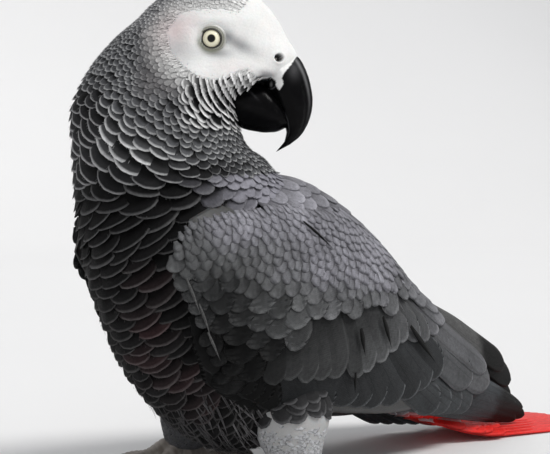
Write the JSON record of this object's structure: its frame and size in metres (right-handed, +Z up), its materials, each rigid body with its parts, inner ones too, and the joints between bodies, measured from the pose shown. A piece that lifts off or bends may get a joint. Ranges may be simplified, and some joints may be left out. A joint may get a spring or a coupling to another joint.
{
  "type": "grey parrot model",
  "caption": "Life-size still model of a grey parrot standing with folded wings, its head turned back over its shoulder, with a red tail.",
  "frame": {"origin": "centre of the bird's plan outline at floor level", "axes": "+Y from the breast towards the tail, +X towards the bird's left, +Z up; the soles stand at z = 0"},
  "size_m": [0.0956, 0.2585, 0.1912],
  "materials": {
    "plumage_grey": "soft feathers, dark grey with pale edges",
    "plumage_pale": "short pale grey and white feathers",
    "wing_grey": "smooth slate grey feathers",
    "primaries_dark": "dark flight feathers",
    "tail_red": "bright red feathers",
    "bill_black": "glossy black horn",
    "eye": "pale yellow iris, black pupil, wet shine",
    "leg_scale": "grey-brown scaled skin",
    "claw_black": "black horn"
  },
  "bodies": {
    "root": {"bill_lower": "bill_black", "bill_upper": "bill_black", "claw_1_left": "claw_black", "claw_1_right": "claw_black", "claw_2_left": "claw_black", "claw_2_right": "claw_black", "claw_3_left": "claw_black", "claw_3_right": "claw_black", "claw_4_left": "claw_black", "claw_4_right": "claw_black", "eye_left": "eye", "eye_right": "eye", "head": "plumage_pale", "neck": "plumage_grey", "primaries_left": "primaries_dark", "primaries_right": "primaries_dark", "rump": "plumage_grey", "tail": "tail_red", "tarsus_left": "leg_scale", "tarsus_right": "leg_scale", "thigh_left": "plumage_pale", "thigh_right": "plumage_pale", "toe_1_left": "leg_scale", "toe_1_right": "leg_scale", "toe_2_left": "leg_scale", "toe_2_right": "leg_scale", "toe_3_left": "leg_scale", "toe_3_right": "leg_scale", "toe_4_left": "leg_scale", "toe_4_right": "leg_scale", "trunk": "plumage_grey", "wing_left": "wing_grey", "wing_right": "wing_grey"}
  },
  "joints": []
}
